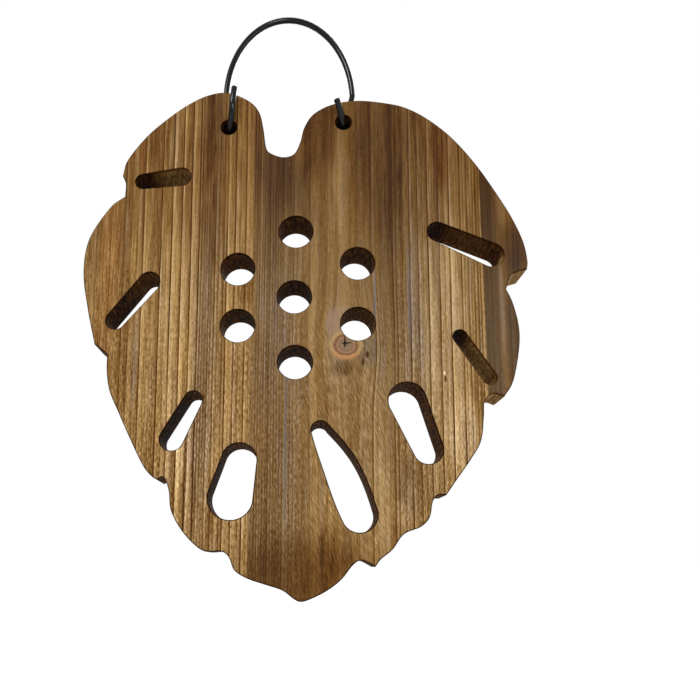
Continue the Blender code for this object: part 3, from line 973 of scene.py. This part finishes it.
RIGHT_STAINS = [
    (-0.02, GREYED, 0.35, 96, -5, 16, 52), (-0.05, GREYED, 1, 89.3, 15, 4.6, 140),
    (0.05, GREYED, 0.2, 97, 50, 2.4, 16), (-0.06, GREYED, 0.5, 101, 24, 6.5, 12),
    (-0.05, GREYED, 1, 100.4, -16, 4.4, 36), (-0.04, GREYED, 0.5, 104, 22, 3.2, 18),
]


def ramped(value, low, high, result_low=0.0, result_high=1.0, kind="SMOOTHSTEP"):
    """A value eased from one result to another between two limits."""
    return first_output(tree_of(value), "ShaderNodeMapRange", {
        "Value": value, "From Min": low, "From Max": high, "To Min": result_low,
        "To Max": result_high}, interpolation_type=kind)


def field_mask(across, along, place, ragged):
    """1 inside a soft ellipse, 0 outside."""
    spread = calc("SQRT", squared_distance(across, along, place[:2], place[2:]))
    return ramped(spread + ragged, 1 + FIELD_EDGE, 1 - FIELD_EDGE)


def lifted(tone, lifts, across, along, ragged):
    """A tone made brighter or darker in each of some fields."""
    for lift, *place in lifts:
        tone = field_mask(across, along, place, ragged) * lift + tone
    return tone


print("Lifts:", len(LEFT_LIFTS + MIDDLE_LIFTS_AND_PAINTED_LIGHT + RIGHT_LIFTS), "on the faces,", len(WALL_LIFTS_AND_PAINTED_LIGHT),
      "on the walls; stains:", len(LEFT_STAINS + MIDDLE_STAINS_AND_KNOT_SHADOW + RIGHT_STAINS))

# %% [markdown]
# The knot
#
# A knot is a branch cut across: pinkish wood inside a dark red-brown ring, a cracked heart, and
# a halo where the trunk's wood turned aside, straw at the sides and orange below. All of that
# depends only on the distance from its centre, so one colour ramp over that distance draws it.
# The heart's cracks are four thin rays of their own length.

# %% Draw the knot
KNOT_ROUND = 8.0
KNOT_WIDER = 1.12
KNOT_CROOKED = 1.5
KNOT_TONES = [
    # distance from the centre in mm and linear colour
    (0.0, (0.085, 0.052, 0.034)),
    (1.5, (0.195, 0.122, 0.074)),
    (2.6, (0.150, 0.090, 0.054)),
    (3.6, (0.240, 0.128, 0.074)),
    (4.5, (0.110, 0.046, 0.024)),
    (5.1, (0.215, 0.115, 0.050)),
    (5.9, (0.330, 0.215, 0.090)),
    (8.0, (0.260, 0.160, 0.065)),
]
KNOT_ORANGE = (0.370, 0.165, 0.062)
ORANGE_SHARE = 0.85
BELOW_KNOT = (-0.45, -0.90)
HALO_STARTS = (4.7, 5.4)
KNOT_SOLID = 5.4
KNOT_SHARE = 0.92
KNOT_CROOKS = (0.25, 0.25, 2.0)
KNOT_SPECKS = (1.6, 1.2, 3.0)
SPECK_LIGHT = (0.2, 0.8, 0.7, 1.3)
KNOT_HEART = (-0.4, 0.9)
CRACK_COLOUR = (0.008, 0.004, 0.002)
KNOT_CRACKS = [
    # direction in degrees and length in mm
    (92.0, 3.0), (2.0, 2.7), (262.0, 2.0), (190.0, 1.3),
]
CRACK_WIDTHS = (0.54, 0.15)
CRACK_SOFTNESS = 0.18
CRACK_END = 0.4
CRACK_SHARE = 0.85


def knot_over(colour, across, along):
    """The knot and its halo laid over a colour."""
    x = across - KNOT[0]
    z = along - KNOT[1]
    flat = x / KNOT_WIDER
    plain = calc("SQRT", flat * flat + z * z)
    distance = (stretched_noise(across, along, KNOT_CROOKS) - 0.5) * KNOT_CROOKED + plain
    wood = tone_ramp(distance / KNOT_ROUND, [(place / KNOT_ROUND, tone) for place, tone in KNOT_TONES])
    in_halo = ramped(z / plain, *BELOW_KNOT) * ramped(distance, *HALO_STARTS)
    wood = mixed(in_halo * ORANGE_SHARE, wood, KNOT_ORANGE)
    specks = ramped(stretched_noise(across, along, KNOT_SPECKS), *SPECK_LIGHT, "LINEAR")
    wood = mixed(1.0, wood, specks, "MULTIPLY")
    colour = mixed(ramped(distance, KNOT_ROUND, KNOT_SOLID) * KNOT_SHARE, colour, wood)
    heart_x, heart_z = x - KNOT_HEART[0], z - KNOT_HEART[1]
    for direction, length in KNOT_CRACKS:
        ahead, aside = math.cos(math.radians(direction)), math.sin(math.radians(direction))
        out = heart_x * ahead + heart_z * aside
        side = heart_z * ahead - heart_x * aside
        width = ramped(out, -CRACK_END, length, *CRACK_WIDTHS, "LINEAR")
        thin = ramped(abs(side) - width, CRACK_SOFTNESS, 0.0)
        short = ramped(abs(out - length / 2), length / 2 + CRACK_END, length / 2)
        colour = mixed(thin * short * CRACK_SHARE, colour, CRACK_COLOUR)
    return colour


print("Knot of", len(KNOT_TONES), "tones with", len(KNOT_CRACKS), "cracks")

# %% [markdown]
# The brush and the sanding disc
#
# A wire brush leaves short flecks, which get stronger towards the tip. Right of the middle a
# sanding disc passed later, and its marks slant. Both are noises in grain lengths, and the fine
# fibres bend them a little, so that they don't look laid on top of the wood.

# %% Mark the brushed and sanded flecks
FLECK = (2.1, 0.45, 4.0)
SANDING = (2.0, 0.24, 3.0)
SANDING_SLANT = 0.30
FLECK_BEND = 1.5
SANDING_BEND = 0.8
SANDING_SHARE = 0.85
# limits along or across the grain in mm, and where given the strengths at them
SANDED_BELOW = (30.0, -15.0)
SANDED_FROM = (0.0, 12.0)
SANDED_TO = (50.0, 38.0)
BRUSHED = (60.0, -85.0, 0.18, 0.80)
BRUSHED_AT_TIP = (-125.0, -104.0, 0.55, 1.0)


def brush_marks(across, along, fibre):
    """The flecks of brush and disc, and how far they swing the brightness."""
    fleck = stretched_noise(fibre * FLECK_BEND + across, along, FLECK)
    sanding = stretched_noise(fibre * SANDING_BEND + across, along, SANDING, slant=SANDING_SLANT)
    sanded = ramped(along, *SANDED_BELOW) * ramped(across, *SANDED_FROM) * ramped(across, *SANDED_TO)
    swing = ramped(along, *BRUSHED) * ramped(along, *BRUSHED_AT_TIP)
    return (sanding - fleck) * (sanded * SANDING_SHARE) + fleck, swing


print("Flecks are", round(1 / FLECK[1], 1), "mm long from the brush and", round(1 / SANDING[1], 1),
      "mm from the disc")

# %% [markdown]
# The brightness of bare wood
#
# Rings, streaks, fibres and flecks are mixed to one brightness, each swinging around the one
# before. The swings are wide at the board's two sides, and quiet about its middle.

# %% Mix the brightness of bare wood
UNEVEN = (0.3, 0.022, 2.0)
BROAD = (0.16, 0.008, 3.0)
STREAK = (0.55, 0.014, 3.0)
FIBRE = (1.5, 0.07, 5.0)
# a noise is mostly found between these values
NOISE_CORE = (0.3, 0.7)
LINE_STRENGTHS = (0.55, 1.3)
QUIET_CENTRE = 10.0
QUIET_REACH = (20.0, 48.0)
LIVELINESS = (0.75, 1.3)
BROAD_SWING = 0.20
RING_SWING = 0.07
STREAK_SWING = 0.20
FIBRE_SWING = 0.28
PALE_LIFT = 0.10


def centred(noise, swing, base):
    """A base plus a noise that swings around it."""
    return (noise - 0.5) * swing + base


def bare_wood(lengths, rings, plain_tone, contrast):
    """The brightness of wood before the fire, and its dark lines, fibres and flecks."""
    across, along, depth, bent = lengths
    uneven = ramped(stretched_noise(bent, along, UNEVEN), *NOISE_CORE, *LINE_STRENGTHS, "LINEAR")
    dark, pale, own_shade = ring_pattern(bent, rings, uneven)
    lively = ramped(abs(across - QUIET_CENTRE), *QUIET_REACH, *(contrast * end for end in LIVELINESS))
    broad = stretched_noise(bent, along, BROAD, depth)
    tone = centred(broad, BROAD_SWING * contrast, plain_tone)
    tone = centred(own_shade, RING_SWING * contrast, tone)
    streak = stretched_noise(bent, along, STREAK, depth)
    tone = centred(streak, lively * STREAK_SWING, tone)
    fibre = stretched_noise(bent, along, FIBRE, depth)
    tone = centred(fibre, lively * FIBRE_SWING, tone)
    fleck, fleck_swing = brush_marks(across, along, fibre)
    tone = centred(fleck, fleck_swing * contrast, tone)
    return pale * lively * PALE_LIFT + tone, dark, fibre, fleck


print("The brightness is quietest", QUIET_CENTRE, "mm right of the middle plant hole")

# %% [markdown]
# The sawn walls
#
# The saw burnt the walls darker than the faces and left crumbled end grain. Towards the faces
# they grow darker still, which is partly char and partly painted shade on the rounded rims, and
# some fields on them are painted light, brighter where the lamps reach into slots, notches and
# holes. A wall is told from a face by how far the point lies below the front and the back.

# %% Burn the sawn walls, with painted light and shade
FACE_SKIN = 0.01
# the walls grow darker towards the faces: char, and painted shade on the rounded rims
RIM_DARKEST = 0.22
CHAR_AND_RIM_SHADE_ENDS = 1.6
CHAR_AND_RIM_SHADE_SHARE = 0.72
WALL_TONE = 0.160
CRUMBLE = (1.0, 1.0, 4.0)
CRUMBLE_THROUGH = 0.22
CRUMBLE_SWING = 0.60


def with_walls(colour, across, along, depth):
    """The burnt walls laid over a colour, where they are, with painted shade at their rims, painted light
    in some fields, and their crumbled grain.
    """
    into_wall = calc("MINIMUM", depth, BOARD_THICKNESS / MM - depth)
    wall = ramped(into_wall, FACE_SKIN, RIM_DARKEST)
    crumble = stretched_noise(across, along, CRUMBLE, depth * CRUMBLE_THROUGH)
    # painted light: the brighter wall fields lighten walls where the lamps reach in
    tone = lifted(centred(crumble, CRUMBLE_SWING, WALL_TONE), WALL_LIFTS_AND_PAINTED_LIGHT, across, along, 0.0)
    # char and painted shade: darkest at the rounded rims, fading out further into the wall
    left_by_char_and_rim_shade = ramped(into_wall, CHAR_AND_RIM_SHADE_ENDS, RIM_DARKEST, 1.0, 1.0 - CHAR_AND_RIM_SHADE_SHARE)
    return mixed(wall, colour, tone_ramp(tone * left_by_char_and_rim_shade, WOOD_TONES)), wall, crumble


print("The char on the walls fades out", CHAR_AND_RIM_SHADE_ENDS, "mm below the faces")

# %% [markdown]
# The wood's finish
#
# The fields and a painted shade at the top shift the brightness, the dark latewood lines go
# over them, and then the ramp gives the colour and the stain fields tint it. Rings, fibres and
# flecks also feed the bump, because a wire brush takes the soft earlywood and leaves the hard
# lines standing.

# %% Mix the scorched wood
RAGGED = (0.35, 0.03, 3.0)
HUE = (0.28, 0.02, 3.0)
RAGGED_SWING = 0.9
LATEWOOD_TONE = 0.12
# painted shade: the wood is made darker towards the top
TOP_PAINTED_SHADE = 0.10
TOP_SHADE_RAGGED = 25.0
TOP_SHADE_HEIGHTS = (0.0, 85.0)
GREYED_HUES = (0.5, 0.72, 0.0, 0.30)
YELLOWED_HUES = (0.5, 0.28, 0.0, 0.8)
RING_RELIEF = 0.6
FIBRE_RELIEF = 0.5
FLECK_RELIEF = 0.35
CRUMBLE_RELIEF = 1.6
RIDGE_HEIGHT = 0.00022
SATIN = (0.62, 0.46)
WALL_ROUGHER = 0.25
WOOD_SHINE = 0.035


def shade(tree, looks):
    """Feed or set inputs of the shader in a material's tree."""
    for name, look in looks.items():
        plug(look, tree.nodes["Principled BSDF"].inputs[name])


def wood_material(name, plain_tone, contrast, rings, lifts, stains_and_shade, knotted):
    """Scorched, brushed and oiled softwood of one stave."""
    material = bpy.data.materials.new(name)
    material.use_nodes = True
    tree = material.node_tree
    across, along, depth, bent = lengths = grain_lengths(tree)
    tone, dark, fibre, fleck = bare_wood(lengths, rings, plain_tone, contrast)

    ragged = centred(stretched_noise(bent, along, RAGGED), RAGGED_SWING, 0.0)
    tone = lifted(tone, lifts, across, along, ragged)
    masks = [field_mask(across, along, place, ragged) for lift, stain, strength, *place in stains_and_shade]
    for mask, (lift, *rest) in zip(masks, stains_and_shade):
        tone = mask * lift + tone
    # painted shade: darker towards the top, with a ragged lower edge
    tone = tone - ramped(ragged * TOP_SHADE_RAGGED + along, *TOP_SHADE_HEIGHTS) * TOP_PAINTED_SHADE
    tone = (LATEWOOD_TONE - tone) * dark + tone
    hue = stretched_noise(bent, along, HUE)
    colour = stained(tone_ramp(tone, WOOD_TONES), ramped(hue, *GREYED_HUES), GREYED)
    colour = stained(colour, ramped(hue, *YELLOWED_HUES), YELLOWED)
    for mask, (lift, stain, strength, *place) in zip(masks, stains_and_shade):
        colour = stained(colour, mask * strength, stain)
    if knotted:
        colour = knot_over(colour, across, along)
    colour, wall, crumble = with_walls(colour, across, along, depth)

    relief = fibre * FIBRE_RELIEF + dark * RING_RELIEF + fleck * FLECK_RELIEF
    relief = crumble * wall * CRUMBLE_RELIEF + relief
    bump = first_output(tree, "ShaderNodeBump", {
        "Height": relief, "Distance": RIDGE_HEIGHT, "Strength": 1.0})
    satin = ramped(fibre, *NOISE_CORE, *SATIN, "LINEAR")
    shade(tree, {"Base Color": colour, "Normal": bump, "Roughness": wall * WALL_ROUGHER + satin,
                 "Specular IOR Level": WOOD_SHINE})
    print(name, len(tree.nodes), "nodes")
    return material


for piece, node_name, *wood in (
        # the stave, its node, plain brightness, contrast, rings, lifts and stains
        (left_stave, "left_stave", 0.375, 1.12, LEFT_RINGS, LEFT_LIFTS, LEFT_STAINS),
        (middle_stave, "middle_stave", 0.335, 0.9, MIDDLE_RINGS, MIDDLE_LIFTS_AND_PAINTED_LIGHT, MIDDLE_STAINS_AND_KNOT_SHADOW),
        (right_stave, "right_stave", 0.31, 0.30, RIGHT_RINGS, RIGHT_LIFTS, RIGHT_STAINS)):
    finish_name = "scorched wood of the " + node_name.replace("_", " ")
    piece.data.materials.append(wood_material(finish_name, *wood, knotted=piece is middle_stave))
    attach(piece, "board")
    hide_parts(node_name)

# %% [markdown]
# The wire's coating
#
# The wire is dipped in gloss black and scuffed in fine spots, where it rubs on wood and nail. A
# near-black base with a low roughness gives the sharp lines of light that a round glossy wire
# shows. Where the coating is scuffed, it is a little paler and duller.

# %% Coat the wire
COATING = (0.003, 0.003, 0.0032)
RUBBED = (0.020, 0.019, 0.018)
SCUFF_SCALE = 1500.0
SCUFF_DETAIL = 4.0
SCUFFED = (0.60, 0.78, 0.0, 0.7)
DULLED = (0.45, 0.75)
GLOSS = (0.14, 0.18)
SHEEN = 0.15


def coat(material):
    """Gloss black coating, rubbed dull in spots."""
    material.use_nodes = True
    scuffs = first_output(material.node_tree, "ShaderNodeTexNoise", {
        "Vector": material.node_tree.nodes.new("ShaderNodeTexCoord").outputs["Object"],
        "Scale": SCUFF_SCALE, "Detail": SCUFF_DETAIL})
    shade(material.node_tree, {
        "Base Color": mixed(ramped(scuffs, *SCUFFED), COATING, RUBBED),
        "Roughness": ramped(scuffs, *DULLED, *GLOSS, "LINEAR"), "Specular IOR Level": SHEEN})


coat(coated_wire)
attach(wire, "bail")
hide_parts("wire_bail")
print("Wire coated:", [slot.name for slot in wire.data.materials])

# %% [markdown]
# Studio
#
# The board hangs in front of a pale studio. A soft lamp stands above and left of the camera,
# weaker ones ahead and to the right, and one behind the board for its back. The sky is an even
# dim white that fills the shadows. The camera sees plain white where nothing stands, and so do
# gloss and glass, because Light Path tells their rays from those that light the object.

# %% Light the studio
SKY_STRENGTH = 0.34
WHITE = (1.0, 1.0, 1.0, 1.0)
LAMPS = [
    # name, place from the leaf's middle in metres, size and power
    ("key lamp", (-0.5, -0.9, 0.8), 0.35, 11.0),
    ("front lamp", (0.15, -1.2, 0.25), 0.3, 7.0),
    ("fill lamp", (0.9, -0.6, 0.1), 0.7, 3.0),
    ("back lamp", (0.3, 0.9, 0.7), 0.9, 10.0),
]


def sees_background(tree):
    """1 for the rays of camera, gloss and glass, 0 for those that light the object."""
    rays = tree.nodes.new("ShaderNodeLightPath").outputs
    camera, glass, gloss = (Output(rays["Is %s Ray" % kind])
                            for kind in ("Camera", "Transmission", "Glossy"))
    return calc("MAXIMUM", calc("MAXIMUM", camera, glass), gloss)


def soft_lamp(name, place, target, size, power):
    """A round area lamp that faces a target."""
    lamp = placed(name, bpy.data.lights.new(name, "AREA"))
    lamp.data.shape = "DISK"
    lamp.data.size = size
    lamp.data.energy = power
    lamp.location = place
    lamp.rotation_euler = (target - place).to_track_quat("-Z", "Y").to_euler()


world = bpy.data.worlds.new("studio")
bpy.context.scene.world = world
world.use_nodes = True
sky = world.node_tree.nodes["Background"]
sky.inputs["Color"].default_value = WHITE
plug(sees_background(world.node_tree) * (1.0 - SKY_STRENGTH) + SKY_STRENGTH, sky.inputs["Strength"])
leaf_middle = (cad_box[0] + cad_box[1]) / 2
for lamp_name, offset, size, power in LAMPS:
    soft_lamp(lamp_name, leaf_middle + Vector(offset), leaf_middle, size, power)
print("Lamps:", [lamp_name for lamp_name, *rest in LAMPS])

# %% [markdown]
# A floor well below the leaf catches its shadow. Its own faint glow for the camera lifts it to
# the white of the sky without lighting the object. The glow is weaker under the leaf, so that
# the shadow stays.

# %% Lay the floor
FLOOR_DROP = 0.12
FLOOR_HALF_SIDE = 6.0
FLOOR_WHITE = (0.62, 0.62, 0.62, 1.0)
FLOOR_ROUGHNESS = 0.9
FLOOR_SHINE = 0.1
FLOOR_GLOW = 0.85
# distances from under the leaf in metres, and the share of the glow at each
GLOW_RISES = (0.12, 0.42, 0.25, 1.0)

floor_z = cad_box[0].z - FLOOR_DROP
floor_mesh = bpy.data.meshes.new("floor")
floor_mesh.from_pydata([(x * FLOOR_HALF_SIDE, y * FLOOR_HALF_SIDE, floor_z)
                        for x, y in ((-1, -1), (1, -1), (1, 1), (-1, 1))], [], [(0, 1, 2, 3)])
floor = placed("floor", floor_mesh)
floor_paint = bpy.data.materials.new("white floor")
floor_paint.use_nodes = True
floor_tree = floor_paint.node_tree
from_leaf = Output(tree_node(floor_tree, "ShaderNodeVectorMath", {
    0: floor_tree.nodes.new("ShaderNodeTexCoord").outputs["Object"],
    1: (leaf_middle.x, leaf_middle.y, floor_z)}, operation="DISTANCE").outputs["Value"])
glow = ramped(from_leaf, *GLOW_RISES) * FLOOR_GLOW * sees_background(floor_tree)
shade(floor_tree, {"Base Color": FLOOR_WHITE, "Roughness": FLOOR_ROUGHNESS,
                   "Specular IOR Level": FLOOR_SHINE, "Emission Color": WHITE,
                   "Emission Strength": glow})
floor_mesh.materials.append(floor_paint)
print("Floor at", round(floor_z / MM, 1), "mm")

# %% [markdown]
# Finish
#
# The view transform is Standard, so a colour renders as it is written.

# %% Set the view transform
bpy.context.scene.view_settings.view_transform = "Standard"
